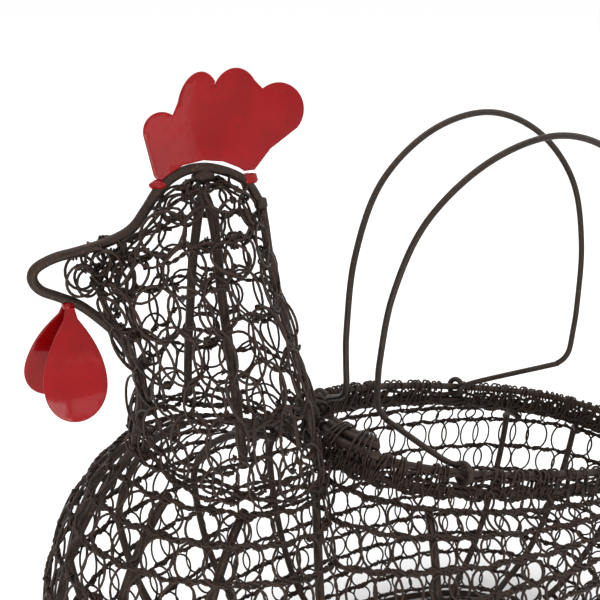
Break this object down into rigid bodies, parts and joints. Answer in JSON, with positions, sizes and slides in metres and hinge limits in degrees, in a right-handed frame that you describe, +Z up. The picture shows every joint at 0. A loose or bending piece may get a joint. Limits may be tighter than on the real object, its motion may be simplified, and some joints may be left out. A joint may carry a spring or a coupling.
{
  "type": "wire basket",
  "caption": "Hen-shaped wire basket with looped mesh walls, a sloping oval rim, two folding bail handles, a painted comb and wattles.",
  "frame": {"origin": "on the surface the basket stands on, under the middle of its bounding box", "axes": "+X from the head to the tail, +Y across the basket, +Z up"},
  "size_m": [0.3831, 0.1776, 0.3562],
  "materials": {
    "frame_wire": "satin, dark brown with rusty wear",
    "mesh_wire": "satin, dark brown with rusty wear",
    "handle_wire": "satin, dark grey-brown",
    "red_paint": "gloss"
  },
  "bodies": {
    "basket": {"rim_upper_wire": "frame_wire", "rim_lower_wire": "frame_wire", "rim_ties": "mesh_wire", "rim_splice_left": "frame_wire", "rim_splice_right": "frame_wire", "base_ring": "frame_wire", "hoop_1": "frame_wire", "hoop_2": "frame_wire", "hoop_3": "frame_wire", "hoop_4": "frame_wire", "hoop_5": "frame_wire", "hoop_6": "frame_wire", "head_and_breast_wire": "frame_wire", "neck_back_wire": "frame_wire", "neck_hoop": "frame_wire", "rear_wire": "frame_wire", "tail_wire": "frame_wire", "comb": "red_paint", "wattle_left": "red_paint", "wattle_right": "red_paint", "mesh_left_shoulder": "mesh_wire", "mesh_left_flank": "mesh_wire", "mesh_right_shoulder": "mesh_wire", "mesh_right_flank": "mesh_wire", "mesh_breast": "mesh_wire", "mesh_belly": "mesh_wire", "mesh_back": "mesh_wire", "mesh_rump": "mesh_wire", "mesh_base": "mesh_wire", "mesh_neck": "mesh_wire", "mesh_head": "mesh_wire", "mesh_tail": "mesh_wire"},
    "left_handle": {"handle_left": "handle_wire"},
    "right_handle": {"handle_right": "handle_wire"}
  },
  "joints": [
    {"name": "left_handle_swing", "type": "hinge", "parent": "basket", "child": "left_handle", "pos_m": [0.05672, 0.04794, 0.15753], "axis": [-0.9442, -0.1799, 0.2761], "range_deg": [0, 120]},
    {"name": "right_handle_swing", "type": "hinge", "parent": "basket", "child": "right_handle", "pos_m": [-0.00999, -0.04319, 0.17703], "axis": [0.9582, 0.057, -0.2802], "range_deg": [0, 120]}
  ]
}
